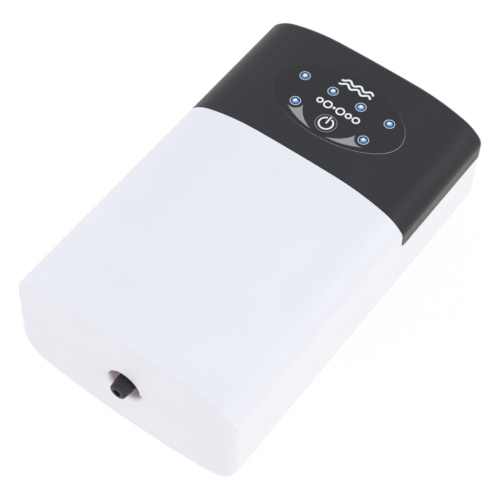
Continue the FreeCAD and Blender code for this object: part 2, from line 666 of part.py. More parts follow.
def battery():
    cell = new_body("battery_cell", "0 - cell_half", "cell_y", "cell_z")
    cylinder(cell, "Additive", "cell_r", "cell_half + cell_half", axis="x")
    soften(cell, "Fillet", "0.8", lambda p, e: e.Curve.TypeId == "Part::GeomCircle")
    tabs = (("battery_tab_positive", "0 - cell_half - tab_t"), ("battery_tab_negative", "cell_half"))
    for label, x in tabs:
        boxy(label, x, "cell_y - 3", "cell_z - 2.5", ("tab_t", "tab_w", "tab_high"))
    foam = new_body("battery_foam", "0", "cell_y", "cell_z")
    block(foam, "Additive", ("foam_w", "foam_l", "5"), ("0 - 12", "0 - 4.5", "0 - cell_r - 3"))
    cylinder(foam, "Subtractive", "cell_r + 0.02", "80", ("0 - 40", "0", "0"), "x")


def magnet_core():
    body = new_body("magnet_core", "0", "core_y")
    high = "core_half_t + core_half_t"
    back = ("0 - core_half_w", "core_l - core_back", "0 - core_half_t")
    block(body, "Additive", ("core_half_w + core_half_w", "core_back", high), back)
    reach = "core_l - core_back + 1"
    block(body, "Additive", ("leg_half + leg_half", reach, high), ("0 - leg_half", "0", "0 - core_half_t"))
    block(body, "Additive", ("side_leg", reach, high), ("core_half_w - side_leg", "0", "0 - core_half_t"))
    block(body, "Additive", ("side_leg", reach, high), ("0 - core_half_w", "0", "0 - core_half_t"))
    for x in ("core_screw_x", "0 - core_screw_x"):
        cylinder(body, "Subtractive", "core_hole_r", "16", (x, "core_screw_y - core_y", "0 - 8"))


def coil():
    bobbin = new_body("coil_bobbin", "0", "flange_y")
    wide, high = "bobbin_half_w + bobbin_half_w", "bobbin_half_h + bobbin_half_h"
    for y in ("0", "flange_gap + bobbin_flange_t"):
        corner = ("0 - bobbin_half_w", y, "0 - bobbin_half_h")
        block(bobbin, "Additive", (wide, "bobbin_flange_t", high), corner)
    length = "flange_gap + bobbin_flange_t + bobbin_flange_t"
    tube = ("tube_half_w + tube_half_w", length, "tube_half_h + tube_half_h")
    block(bobbin, "Additive", tube, ("0 - tube_half_w", "0", "0 - tube_half_h"))
    slot = ("slot_half_w + slot_half_w", "20", "slot_half_h + slot_half_h")
    block(bobbin, "Subtractive", slot, ("0 - slot_half_w", "0 - 2", "0 - slot_half_h"))
    winding = new_body("coil_winding", "0", "flange_y + bobbin_flange_t + coil_gap")
    length = "flange_gap - coil_gap - coil_gap"
    size = ("coil_half_w + coil_half_w", length, "coil_half_h + coil_half_h")
    block(winding, "Additive", size, ("0 - coil_half_w", "0", "0 - coil_half_h"))
    edge = DIMS["coil_half_w"] - 0.1
    soften(winding, "Fillet", "coil_round",
           lambda p, e: abs(p.x) > edge and abs(p.z) > DIMS["coil_half_h"] - 0.1)
    core = ("tube_half_w + tube_half_w + 0.1", "20", "tube_half_h + tube_half_h + 0.1")
    block(winding, "Subtractive", core, ("0 - tube_half_w - 0.05", "0 - 2", "0 - tube_half_h - 0.05"))


def screws(label, spots, head_r, head_t, shank_r, shank, axis="z", x="0", y="0", z="0"):
    """Round-headed screws whose heads sit at the placed plane and whose shanks run along axis."""
    body = new_body(label, x, y, z)
    for at in spots:
        if axis == "z":
            stem = (at[0], at[1], f"{at[2]} - {shank}")
        else:
            stem = (f"{at[0]} - {shank}", at[1], at[2])
        cylinder(body, "Additive", head_r, head_t, at, axis)
        cylinder(body, "Additive", shank_r, f"{shank} + 0.2", stem, axis)
    return body


def housing_screws():
    body = new_body("housing_screws", "0", "0", "sink_top")
    for x, y in corners_xy():
        cylinder(body, "Additive", "screw_head_r", "screw_head_t", (x, y, "0 - screw_head_t"))
        cylinder(body, "Additive", "screw_r", "screw_long", (x, y, "0 - 0.2"))


def pump_frame():
    body = new_body("pump_frame", "0", "0", "frame_z")
    block(body, "Additive", ("frame_w", "frame_l", "frame_t"), ("frame_x", "frame_y", "0"))
    deep = "0 - frame_z - core_half_t"
    for x in ("core_half_w - 4.7", "0 - core_half_w - 0.3"):
        block(body, "Additive", ("5", "21.5", deep), (x, "core_y + 1", "0"))
    lower = "0 - frame_z - ear_z"
    cylinder(body, "Additive", "hub_r + 0.5", lower, ("0", "pivot_y", "0"))
    tall = "0 - frame_z + ear_z + ear_t"
    block(body, "Additive", ("2.5", "12", tall), ("0 - 11", "pivot_y - 6", "0"))
    block(body, "Additive", ("15.5", "9", "ear_t"), ("0 - 11", "pivot_y - 4.5", "0 - frame_z + ear_z"))
    cylinder(body, "Subtractive", "pivot_r", "30", ("0", "pivot_y", "4"))
    block(body, "Additive", ("19", "26", "0 - frame_z - head_half"), ("12", "head_y - head_half", "0"))
    for x, y, _ in FRAME_SCREWS:
        cylinder(body, "Subtractive", "board_hole_r", "6", (x, y, "0 - 1"))
    for x in ("core_screw_x", "0 - core_screw_x"):
        cylinder(body, "Subtractive", "stand_hole_r", "8", (x, "core_screw_y", "3"))


def frame_and_core_screws():
    spots = [(x, y, "0") for x, y, _ in FRAME_SCREWS]
    screws("frame_screws", spots, "small_head_r + 0.2", "small_head_t", "small_screw_r", "5.5",
           z="frame_z + frame_t")
    spots = [(x, "core_screw_y", "0") for x in ("core_screw_x", "0 - core_screw_x")]
    screws("core_screws", spots, "small_head_r + 0.4", "small_head_t", "small_screw_r", "18",
           z="core_half_t")


def pivot_pin():
    body = new_body("pivot_pin", "0", "pivot_y", "0 - 12")
    cylinder(body, "Additive", "pivot_r", "12 + ear_z + ear_t + 0.6")


def swing_arm():
    body = new_body("swing_arm", "0", "pivot_y")
    cylinder(body, "Additive", "hub_r", "hub_half + hub_half", ("0", "0", "0 - hub_half"))
    blade = ("arm_half_t + arm_half_t", "arm_l", "arm_half_h + arm_half_h")
    block(body, "Additive", blade, ("0 - arm_half_t", "0", "0 - arm_half_h"))
    head = ("holder_half_w + holder_half_w", "holder_l", "holder_half_h + holder_half_h")
    block(body, "Additive", head, ("0 - holder_half_w", "holder_y", "0 - holder_half_h"))
    cylinder(body, "Additive", "stud_boss_r", "stud_boss_x", ("0", "head_y - pivot_y", "0"), "x")
    cylinder(body, "Subtractive", "stud_hole_r", "12", ("0 - 6", "head_y - pivot_y", "0"), "x")
    cylinder(body, "Subtractive", "hub_bore_r", "20", ("0", "0", "0 - 10"))


def arm_fittings():
    magnets = new_body("arm_magnets", "0", "pivot_y + holder_y + holder_l")
    size = ("magnet_w", "magnet_l", "magnet_half_h + magnet_half_h")
    for x in ("magnet_gap", "0 - magnet_gap - magnet_w"):
        block(magnets, "Additive", size, (x, "0", "0 - magnet_half_h"))
    screw = new_body("diaphragm_screw", "0 - arm_half_t", "head_y")
    cylinder(screw, "Additive", "stud_head_r", "stud_head_t", ("0 - stud_head_t", "0", "0"), "x")
    cylinder(screw, "Additive", "stud_r", "stud_long", ("0 - 0.2", "0", "0"), "x")


def diaphragm():
    body = new_body("diaphragm", "0", "head_y")
    back = "dia_web_x + dia_web_t"
    inner, outer = "dia_fold_mid - dia_fold_r", "dia_fold_mid + dia_fold_r"
    points = [
        ("dia_face", "dia_hole_r"), ("dia_face", "dia_boss_r"), ("dia_web_x", "dia_boss_r"),
        ("dia_web_x", inner), ("dia_web_x - dia_fold_r", "dia_fold_mid"), ("dia_web_x", outer),
        ("dia_web_x", "dia_rim_in"), ("dia_rim_x", "dia_rim_in"), ("dia_rim_x", "dia_rim_r"),
        ("dia_rim_x + dia_rim_t", "dia_rim_r"), ("dia_rim_x + dia_rim_t", "dia_rim_in"),
        (back, "dia_rim_in"), (back, outer), (f"{back} - dia_fold_r", "dia_fold_mid"),
        (back, inner), (back, "dia_boss_r"), ("dia_boss_end", "dia_boss_r"),
        ("dia_boss_end", "dia_hole_r"),
    ]
    turned(body, points, "H")


def square_plate(label, x, thick):
    """Square block of the pump head's stack, its local zero on the diaphragm axis."""
    body = new_body(label, x, "head_y")
    side = "head_half + head_half"
    block(body, "Additive", (thick, side, side), ("0", "0 - head_half", "0 - head_half"))
    for y in ("corner", "0 - corner"):
        for z in ("corner", "0 - corner"):
            cylinder(body, "Subtractive", "head_screw_r + 0.1", "20", ("0 - 3", y, z), "x")
    return body


def bore_x(body, radius, start, length, y="0"):
    cylinder(body, "Subtractive", radius, length, (start, y, "0"), "x")


def pump_stack():
    inlet, outlet = "port_y", "0 - port_y"
    ring = square_plate("diaphragm_ring", "ring_x", "ring_t")
    bore_x(ring, "ring_r", "0 - 1", "5")
    head = square_plate("pump_head", "head_x", "head_t")
    bore_x(head, "rim_r", "0 - 1", "rim_deep + 1")
    bore_x(head, "chamber_r", "0", "rim_deep + chamber_deep")
    for y in (inlet, outlet):
        bore_x(head, "port_r", "rim_deep", "15", y)
    bore_x(head, "pocket_r", "head_t - inlet_pocket", "6", inlet)
    plate = square_plate("valve_plate", "plate_x", "plate_t")
    for y in (inlet, outlet):
        bore_x(plate, "port_r", "0 - 1", "5", y)
    gasket = square_plate("head_gasket", "plate_x + plate_t", "gasket_t")
    for y in (inlet, outlet):
        bore_x(gasket, "pocket_r", "0 - 1", "3", y)
    cover = square_plate("head_cover", "cover_x", "cover_t")
    spigot = ("spigot_x - cover_x", "0 - head_half - spigot_long", "0")
    cylinder(cover, "Additive", "spigot_r", "spigot_long + 1", spigot, "y")
    bore_x(cover, "pocket_r", "0 - 1", "outlet_pocket + 1", outlet)
    bore_x(cover, "pocket_r", "0 - 1", "inlet_well + 1", inlet)
    bore_x(cover, "port_r", "0", "10", inlet)
    bore = ("spigot_x - cover_x", "0 - head_half - spigot_long - 1", "0")
    cylinder(cover, "Subtractive", "spigot_bore", "spigot_long + 5", bore, "y")


def valve_flaps():
    size = ("flap_t", "flap_half_w + flap_half_w", "flap_half_h + flap_half_h")
    corner = ("0", "0 - flap_half_w", "0 - flap_half_h")
    inlet = new_body("inlet_flap", "plate_x - flap_gap - flap_t", "head_y + port_y")
    block(inlet, "Additive", size, corner)
    outlet = new_body("outlet_flap", "plate_x + plate_t + flap_gap", "head_y - port_y")
    block(outlet, "Additive", size, corner)


def head_screws():
    spots = [("0", y, z) for y in ("corner", "0 - corner") for z in ("corner", "0 - corner")]
    screws("head_screws", spots, "head_screw_head_r", "head_screw_head_t", "head_screw_r",
           "head_screw_long", "x", x="cover_x + cover_t", y="head_y")


def outlet_nozzle():
    """Nozzle along Y, zero at the housing's front face."""
    body = new_body("outlet_nozzle", "0", "0 - half_l")
    wall_end = "recess_deep + cup_wall + 0.5"
    cylinder(body, "Additive", "nozzle_r", "recess_deep", axis="y")
    cylinder(body, "Additive", "nozzle_neck_r", wall_end, axis="y")
    cone = body.newObject("PartDesign::AdditiveCone", "Taper")
    bind(cone, "Radius1", "nozzle_tip_r")
    bind(cone, "Radius2", "nozzle_r")
    bind(cone, "Height", "nozzle_tip_y")
    put(cone, ("0", "0 - nozzle_tip_y", "0"), "y")
    cylinder(body, "Additive", "collar_r", "collar_t", ("0", wall_end, "0"), "y")
    cylinder(body, "Additive", "barb_r", "barb_long + 1", ("0", wall_end, "0"), "y")
    front = -DIMS["nozzle_tip_y"]
    soften(body, "Fillet", "nozzle_round", lambda p, e: abs(p.y - front) < 0.01)
    cylinder(body, "Subtractive", "nozzle_bore", "30", ("0", "0 - 8", "0"), "y")


def pipe(label, start, yaw, corners, bend, radii, first="u", z_plane="XZ_Plane"):
    """A round tube along straight runs joined by tangent arcs in one plane.

    corners are (u, v) points of the centre line in that plane, beginning at the local zero;
    first tells whether the first run goes along u or v.
    """
    body = new_body(label, *start, yaw=yaw)
    spots = [V(num(u), num(v), 0) for u, v in corners]
    path = sketch(body, z_plane)
    radius = num(bend)
    last = spots[0]
    ends = []
    for i in range(1, len(spots) - 1):
        into = (spots[i] - spots[i - 1]).normalize()
        out = (spots[i + 1] - spots[i]).normalize()
        begin, finish = spots[i] - into * radius, spots[i] + out * radius
        centre = begin + out * radius
        a, b = begin - centre, finish - centre
        start_angle, end_angle = math.atan2(a.y, a.x), math.atan2(b.y, b.x)
        left = into.x * out.y - into.y * out.x > 0
        path.addGeometry(Part.LineSegment(last, begin))
        if left:
            arc(path, centre, radius, start_angle, end_angle)
        else:
            arc(path, centre, radius, end_angle, start_angle)
        ends.append(left)
        last = finish
    path.addGeometry(Part.LineSegment(last, spots[-1]))
    for i, left in enumerate(ends):
        path.addConstraint(Sketcher.Constraint("Coincident", 2 * i, 2, 2 * i + 1, 1 if left else 2))
        path.addConstraint(Sketcher.Constraint("Coincident", 2 * i + 1, 2 if left else 1, 2 * i + 2, 1))
        radius_of(path, 2 * i + 1, bend)
    pin_point(path, 0, 1, *corners[0])
    pin_point(path, 2 * len(ends), 2, *corners[-1])
    across = {
        ("XZ_Plane", "u"): "YZ_Plane", ("XZ_Plane", "v"): "XY_Plane", ("XY_Plane", "v"): "XZ_Plane",
    }
    ring = sketch(body, across[(z_plane, first)])
    for text in radii:
        circle(ring, text)
    feature = body.newObject("PartDesign::AdditivePipe", "Run")
    feature.Profile = ring
    feature.Spine = path
    return body


def hose_and_leads():
    turn = [
        ("0", "0"), ("0", "8.7"), ("spigot_x", "8.7"),
        ("spigot_x", "head_y - head_half - hose_start - 0.5"),
    ]
    pipe("air_hose", ("0", "hose_start", "0"), 0, turn, "hose_bend", ("hose_r", "hose_in_r"),
         "v", "XY_Plane")
    rise = "13 - cell_z"
    pipe("battery_lead_positive", ("0 - cell_half - tab_t - lead_r", "cell_y", "cell_z"), 0,
         [("0", "0"), ("0", rise), ("cell_half + tab_t + lead_r + battery_plug_x", rise)],
         "lead_bend", ("lead_r",), "v")
    pipe("battery_lead_negative", ("cell_half + tab_t + lead_r", "cell_y", "cell_z"), 180,
         [("0", "0"), ("0", rise), ("cell_half + tab_t + lead_r - battery_plug_x - battery_plug_w", rise)],
         "lead_bend", ("lead_r",), "v")
    start_y = "flange_y + flange_gap + bobbin_flange_t + bobbin_flange_t"
    ahead = "coil_plug_y - flange_y - flange_gap - bobbin_flange_t - bobbin_flange_t"
    for label, x in (("coil_lead_1", "0 - 2.2"), ("coil_lead_2", "2.2")):
        pipe(label, (x, start_y, "8"), 90,
             [("0", "0"), ("4", "0"), ("4", "5.2"), (ahead, "5.2")], "short_bend", ("lead_r",))
    for label, x in (("jack_lead_positive", "jack_x - 2"), ("jack_lead_negative", "jack_x + 2")):
        pipe(label, (x, "half_l - wall - 0.1 - jack_l", "jack_z"), -90,
             [("0", "0"), ("5", "0"), ("5", "board_z - jack_z")], "lead_bend", ("lead_r",))


def feet_and_filter():
    feet = new_body("rubber_feet", "0", "0", "0 - seam_z")
    for x, y in corners_xy():
        cylinder(feet, "Additive", "foot_r", "foot_high", (x, y, "0"))
    soften(feet, "Fillet", "foot_round", lambda p, e: abs(p.z) < 0.01)
    boxy("intake_felt", "felt_x", "felt_y", "felt_z", ("felt_w", "felt_l", "felt_t"))


upper_shell()
lower_shell()
rear_cap()
panel_overlay()
power_button()
for number, (lamp_x, lamp_y) in enumerate(LAMPS, 1):
    lamp(f"led_{number}", lamp_x, lamp_y)
led_bezels()
control_board()
board_screws()
tact_switch()
switch_plunger()
board_parts()
charge_jack()
battery()
magnet_core()
coil()
housing_screws()
pump_frame()
frame_and_core_screws()
pivot_pin()
swing_arm()
arm_fittings()
diaphragm()
pump_stack()
valve_flaps()
head_screws()
outlet_nozzle()
hose_and_leads()
feet_and_filter()
doc.recompute()

for item in doc.Objects:
    if any(word in ("Invalid", "Error") for word in item.State):
        raise RuntimeError(f"{item.Label} is {item.State}")

for item in parts:
    shape = item.Shape
    if shape.isNull() or not shape.isValid():
        raise RuntimeError(f"{item.Label} has no valid shape")
    shape.exportStep(f"parts/{item.Label}.step")
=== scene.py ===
import math

import bmesh
import bpy
from mathutils import Matrix, Vector
from mathutils.bvhtree import BVHTree


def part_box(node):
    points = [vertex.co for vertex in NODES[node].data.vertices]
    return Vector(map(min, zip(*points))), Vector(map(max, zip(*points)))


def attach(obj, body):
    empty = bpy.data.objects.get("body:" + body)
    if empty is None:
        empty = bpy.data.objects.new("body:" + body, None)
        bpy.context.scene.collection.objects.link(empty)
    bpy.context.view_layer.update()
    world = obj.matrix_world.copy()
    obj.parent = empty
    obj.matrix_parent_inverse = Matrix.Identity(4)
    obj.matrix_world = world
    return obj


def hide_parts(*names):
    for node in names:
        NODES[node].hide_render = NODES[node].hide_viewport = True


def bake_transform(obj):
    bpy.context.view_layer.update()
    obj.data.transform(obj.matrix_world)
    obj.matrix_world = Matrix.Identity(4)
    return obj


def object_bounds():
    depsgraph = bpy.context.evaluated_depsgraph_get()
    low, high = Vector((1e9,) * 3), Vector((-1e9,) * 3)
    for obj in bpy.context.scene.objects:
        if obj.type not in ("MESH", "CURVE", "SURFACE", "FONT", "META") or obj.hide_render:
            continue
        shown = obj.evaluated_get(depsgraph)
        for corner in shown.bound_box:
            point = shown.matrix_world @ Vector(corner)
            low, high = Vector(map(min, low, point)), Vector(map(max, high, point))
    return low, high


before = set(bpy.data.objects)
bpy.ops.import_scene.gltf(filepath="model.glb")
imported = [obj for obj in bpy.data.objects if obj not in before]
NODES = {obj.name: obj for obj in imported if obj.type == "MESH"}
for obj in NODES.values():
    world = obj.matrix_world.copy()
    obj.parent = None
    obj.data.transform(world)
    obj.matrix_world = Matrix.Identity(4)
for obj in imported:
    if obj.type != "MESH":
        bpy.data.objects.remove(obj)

cad_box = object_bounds()
MM = 0.001
BODY_Y = cad_box[1][1] - 68.66 * MM     # the housing's own middle, half its length from the rear face


def middle_of(node):
    low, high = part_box(node)
    return Vector([(a + b) / 2 for a, b in zip(low, high)])


# ---------------------------------------------------------------- camera and light

CAM_AT = (0.178596, -0.265898, 0.482680)
CAM_RIGHT = (0.804761, 0.592909, 0.028413)
CAM_UP = (-0.500641, 0.652247, 0.569139)
CAM_BACK = (0.318921, -0.472251, 0.821749)
CAM_LENS = 123.43


def make_camera():
    data = bpy.data.cameras.new("camera")
    data.lens = CAM_LENS
    data.sensor_width = 36.0
    data.clip_start = 0.01
    camera = bpy.data.objects.new("camera", data)
    turn = Matrix((CAM_RIGHT, CAM_UP, CAM_BACK)).transposed().to_4x4()
    camera.matrix_world = Matrix.Translation(CAM_AT) @ turn
    bpy.context.scene.collection.objects.link(camera)
    bpy.context.scene.camera = camera


def softbox(name, at, aim, size, power, color=(1, 1, 1)):
    data = bpy.data.lights.new(name, "AREA")
    data.shape = "RECTANGLE"
    data.size, data.size_y = size
    data.energy = power
    data.color = color
    lamp = bpy.data.objects.new(name, data)
    lamp.location = at
    way = Vector(at) - Vector(aim)
    lamp.rotation_euler = way.to_track_quat("Z", "Y").to_euler()
    bpy.context.scene.collection.objects.link(lamp)


STUDIO_MIDDLE = (0, 0, 0.03)
LIGHTS = [
    # name, place, width and height, power, colour
    ("overhead", (-0.10, 0.10, 0.90), (0.8, 0.6), 0.83, (0.58, 0.95, 1.0)),
    ("rear_right", (0.60, 0.50, 0.55), (0.35, 0.35), 0.63, (0.85, 0.92, 1.0)),
    ("right", (0.90, -0.10, 0.25), (0.5, 0.4), 1.37, (1.0, 0.96, 0.84)),
    ("left", (-0.90, 0.10, 0.45), (0.6, 0.5), 0.92, (1.0, 0.92, 0.835)),
    ("front_high", (-0.32, -0.82, 0.50), (0.16, 0.10), 0.97, (0.91, 0.92, 1.0)),
]
SKY = (0.820, 0.810, 0.879)
FLOOR_GLOW = (0.897, 0.886, 0.885)


def make_studio():
    scene = bpy.context.scene
    scene.view_settings.view_transform = "Standard"
    world = bpy.data.worlds.new("studio")
    world.use_nodes = True
    back = world.node_tree.nodes["Background"]
    back.inputs["Color"].default_value = (*SKY, 1)
    back.inputs["Strength"].default_value = 1.0
    scene.world = world
    for name, at, size, power, color in LIGHTS:
        softbox(name, at, STUDIO_MIDDLE, size, power, color)


def make_floor():
    mesh = bpy.data.meshes.new("floor")
    half = 3.0
    corners = [(-half, -half, 0), (half, -half, 0), (half, half, 0), (-half, half, 0)]
    mesh.from_pydata(corners, [], [(0, 1, 2, 3)])
    floor = bpy.data.objects.new("floor", mesh)
    bpy.context.scene.collection.objects.link(floor)
    paint = Paint("floor_paper", (0.12, 0.12, 0.12), 0.9, specular=0.0)
    paint.tint((0.11, 0.11, 0.11), (0.13, 0.13, 0.13), 6.0)
    paint.shader.inputs["Emission Color"].default_value = (*FLOOR_GLOW, 1)
    paint.shader.inputs["Emission Strength"].default_value = 1.0
    floor.data.materials.append(paint.mat)


# ---------------------------------------------------------------- materials

SKIRT_REFLECTION_FADE = (39.4 * MM, 42.4 * MM)     # heights over which the cover's skirt turns into its shoulder and its painted warm floor reflection ends
RECESS_LIGHT_EDGE = (6.25 * MM, 6.45 * MM)    # radii over which the painted pink bounce light of the nozzle's recess ends
RECESS_LIGHT_MOUTH = (68.6 * MM, 66.2 * MM)   # distances before the middle over which that painted light comes in
RECESS_LIGHT_FLOOR = (63.2 * MM, 61.2 * MM)   # and over which it goes again
LAMP_CORE = (0.30 * MM, 0.84 * MM)      # radii over which a lamp's white middle fades out
LAMP_HALO = (0.80 * MM, 1.22 * MM)      # and over which its blue fades to the lens's edge
LAMP_RAGGED = 0.12 * MM                 # how far those radii wander
PANEL_BLACK = (0.0265, 0.0270, 0.0275)
RUBBER_BLACK = (0.022, 0.022, 0.023)
MOULD_PATCH, MOULD_GLOSS = 45.0, 320.0  # noise scales of moulded plastic's tint and gloss
NOISE_SPAN = (0.3, 0.7)                 # where most of a noise texture's values lie
MIX_ONE, MIX_TWO, MIX_OUT = 6, 7, 2     # colour sockets of a Mix node


class Paint:
    """A Principled material with procedural tint, gloss variation and fine relief."""

    def __init__(self, name, color, rough, metallic=0.0, specular=0.5):
        self.mat = bpy.data.materials.new(name)
        self.mat.use_nodes = True
        self.tree = self.mat.node_tree
        self.shader = self.tree.nodes["Principled BSDF"]
        self.rough = rough
        self.shader.inputs["Base Color"].default_value = (*color, 1)
        self.shader.inputs["Roughness"].default_value = rough
        self.shader.inputs["Metallic"].default_value = metallic
        self.shader.inputs["Specular IOR Level"].default_value = specular
        self.place = self.add("TexCoord").outputs["Object"]
        self.relief = None

    def add(self, kind, **values):
        node = self.tree.nodes.new("ShaderNode" + kind)
        for key, value in values.items():
            if hasattr(node, key) and key not in node.inputs:
                setattr(node, key, value)
            else:
                node.inputs[key.replace("_", " ")].default_value = value
        return node

    def link(self, source, target):
        self.tree.links.new(source, target)

    def noise(self, scale, detail=3.0, stretch=None):
        node = self.add("TexNoise", Scale=scale, Detail=detail)
        self.link(self.stretched(stretch), node.inputs["Vector"])
        return node.outputs["Fac"]

    def stretched(self, stretch):
        if stretch is None:
            return self.place
        node = self.add("Mapping", Scale=stretch)
        self.link(self.place, node.inputs["Vector"])
        return node.outputs["Vector"]

    def ramp(self, value, low, high, out_low, out_high):
        node = self.add("MapRange")
        node.inputs["From Min"].default_value = low
        node.inputs["From Max"].default_value = high
        node.inputs["To Min"].default_value = out_low
        node.inputs["To Max"].default_value = out_high
        self.link(value, node.inputs["Value"])
        return node.outputs["Result"]

    def blend(self, factor, one, two):
        node = self.add("Mix")
        node.data_type = "RGBA"
        self.link(factor, node.inputs["Factor"])
        for value, slot in ((one, MIX_ONE), (two, MIX_TWO)):
            if isinstance(value, tuple):
                node.inputs[slot].default_value = (*value, 1)
            else:
                self.link(value, node.inputs[slot])
        return node.outputs[MIX_OUT]

    def patches(self, scale, detail=3.0, stretch=None):
        """Soft blotches between 0 and 1."""
        return self.ramp(self.noise(scale, detail, stretch), *NOISE_SPAN, 0, 1)

    def colour(self, source):
        self.link(source, self.shader.inputs["Base Color"])

    def tint(self, one, two, scale, detail=3.0, stretch=None):
        self.colour(self.blend(self.patches(scale, detail, stretch), one, two))

    def gloss(self, spread, scale, detail=4.0, stretch=None):
        noise = self.noise(scale, detail, stretch)
        value = self.ramp(noise, *NOISE_SPAN, self.rough - spread, self.rough + spread)
        self.link(value, self.shader.inputs["Roughness"])

    def bump(self, height, distance):
        node = self.add("Bump", Strength=1.0, Distance=distance)
        self.link(height, node.inputs["Height"])
        if self.relief is not None:
            self.link(self.relief, node.inputs["Normal"])
        self.relief = node.outputs["Normal"]
        self.link(self.relief, self.shader.inputs["Normal"])

    def grain(self, scale, distance, detail=3.0, stretch=None):
        self.bump(self.noise(scale, detail, stretch), distance)

    def axes(self):
        """The place's X, Y and Z, as outputs by name."""
        split = self.add("SeparateXYZ")
        self.link(self.place, split.inputs["Vector"])
        return split.outputs

    def distance(self, centre, keep):
        """Distance from a point, counted only along the axes that keep holds."""
        offset = self.add("VectorMath", operation="SUBTRACT")
        self.link(self.place, offset.inputs[0])
        offset.inputs[1].default_value = centre
        flat = self.add("VectorMath", operation="MULTIPLY")
        self.link(offset.outputs["Vector"], flat.inputs[0])
        flat.inputs[1].default_value = keep
        reach = self.add("VectorMath", operation="LENGTH")
        self.link(flat.outputs["Vector"], reach.inputs[0])
        return reach.outputs["Value"]

    def math(self, operation, one, two):
        node = self.add("Math", operation=operation)
        self.link(one, node.inputs[0])
        self.link(two, node.inputs[1])
        return node.outputs["Value"]

    def bands(self, axis, scale, distance, distortion=0.0):
        node = self.add("TexWave", wave_type="BANDS", bands_direction=axis, Scale=scale,
                        Distortion=distortion)
        self.link(self.place, node.inputs["Vector"])
        self.bump(node.outputs["Fac"], distance)
        return node.outputs["Fac"]


def scaled(color, amount):
    return tuple(min(1.0, c * amount) for c in color)


def plastic(name, color, rough, grain=2600.0, depth=0.000012, drift=0.03, specular=0.5):
    paint = Paint(name, color, rough, specular=specular)
    paint.tint(scaled(color, 1 - drift), scaled(color, 1 + drift), MOULD_PATCH)
    paint.gloss(0.04, MOULD_GLOSS)
    paint.grain(grain, depth)
    return paint


def metal(name, color, rough, stretch=(30, 900, 900)):
    paint = Paint(name, color, rough, metallic=1.0)
    paint.tint(scaled(color, 0.86), color, 3.0, stretch=stretch)
    paint.gloss(0.09, 4.0, stretch=stretch)
    paint.grain(3.0, 0.000006, stretch=stretch)
    return paint


def rubber(name, color, rough):
    paint = Paint(name, color, rough, specular=0.4)
    paint.tint(scaled(color, 0.8), scaled(color, 1.35), 420.0, detail=5.0)
    paint.gloss(0.1, 900.0)
    paint.grain(1800.0, 0.00003, detail=5.0)
    return paint


def fluffy(name, color, scale):
    paint = Paint(name, color, 0.95, specular=0.1)
    paint.tint(scaled(color, 0.75), scaled(color, 1.1), scale, detail=6.0)
    paint.grain(scale, 0.0004, detail=6.0)
    paint.shader.inputs["Sheen Weight"].default_value = 0.3
    return paint


def circuit_board():
    paint = Paint("board", (0.02, 0.16, 0.06), 0.32)
    brick = paint.add("TexBrick", Scale=160.0, Mortar_Size=0.018, Color1=(0, 0, 0, 1),
                      Color2=(0.15, 0.15, 0.15, 1), Mortar=(1, 1, 1, 1))
    paint.link(paint.place, brick.inputs["Vector"])
    cells = paint.add("TexVoronoi", Scale=260.0)
    paint.link(paint.place, cells.inputs["Vector"])
    pads = paint.ramp(cells.outputs["Distance"], 0.10, 0.14, 1, 0)
    traces = paint.blend(brick.outputs["Color"], (0.02, 0.15, 0.055), (0.04, 0.27, 0.10))
    paint.colour(paint.blend(pads, traces, (0.62, 0.60, 0.52)))
    paint.link(paint.ramp(pads, 0, 1, 0.34, 0.22), paint.shader.inputs["Roughness"])
    paint.bump(brick.outputs["Color"], 0.00004)
    return paint


def copper_coil():
    paint = Paint("coil", (0.60, 0.22, 0.08), 0.30, metallic=0.85)
    lines = paint.bands("Y", 900.0, 0.00012, 0.6)
    paint.colour(paint.blend(lines, (0.22, 0.06, 0.02), (0.72, 0.30, 0.12)))
    paint.gloss(0.06, 500.0)
    return paint


def steel_stack():
    paint = Paint("core", (0.30, 0.31, 0.33), 0.45, metallic=0.8)
    lines = paint.bands("Z", 628.0, 0.00008)
    paint.colour(paint.blend(lines, (0.13, 0.13, 0.14), (0.36, 0.37, 0.40)))
    paint.gloss(0.08, 600.0)
    return paint


def cell_wrap():
    paint = plastic("cell", (0.02, 0.17, 0.42), 0.28, grain=700.0, depth=0.00003)
    paint.grain(60.0, 0.0001)
    return paint


def lamp_glow(name, centre):
    """Clear blue lens: navy at its edge, blue further in, near-white in its middle."""
    paint = Paint(name, (0.02, 0.06, 0.12), 0.16)
    away = paint.distance(centre, (1, 1, 0))
    cloud = paint.ramp(paint.noise(900.0, 2.0), *NOISE_SPAN, -LAMP_RAGGED, LAMP_RAGGED)
    ragged = paint.math("ADD", away, cloud)
    core = paint.ramp(ragged, *LAMP_CORE, 1, 0)
    halo = paint.ramp(ragged, *LAMP_HALO, 1, 0)
    glow = paint.blend(halo, (0.004, 0.020, 0.060), (0.07, 0.30, 0.60))
    glow = paint.blend(core, glow, (0.82, 0.98, 1.0))
    paint.link(glow, paint.shader.inputs["Emission Color"])
    paint.shader.inputs["Emission Strength"].default_value = 0.95
    paint.grain(2500.0, 0.000006)
    paint.gloss(0.03, 900.0)
    return paint


def shell_white():
    """White plastic, pink and a little lighter on the sides of the nozzle's recess, where warm bounce
    light is painted in.
    """
    paint = Paint("shell", (0.80, 0.80, 0.82), 0.36)
    shell_tone = paint.blend(paint.patches(MOULD_PATCH), (0.793, 0.793, 0.812), (0.806, 0.806, 0.824))
    recess_light_radius = paint.ramp(paint.distance(middle_of("outlet_nozzle"), (1, 0, 1)), *RECESS_LIGHT_EDGE, 1, 0)
    along = paint.axes()["Y"]
    recess_light_front = paint.ramp(along, *[BODY_Y - y for y in RECESS_LIGHT_MOUTH], 0, 1)
    floor = paint.ramp(along, *[BODY_Y - y for y in RECESS_LIGHT_FLOOR], 1, 0)
    # painted pink bounce light on the recess's sides, coming in from its front and going again towards
    # its floor
    painted_recess_light = paint.math("MULTIPLY", recess_light_radius, paint.math("MULTIPLY", recess_light_front, floor))
    paint.colour(paint.blend(painted_recess_light, shell_tone, (0.95, 0.77, 0.82)))
    paint.gloss(0.03, MOULD_GLOSS)
    paint.grain(3000.0, 0.000004)
    return paint


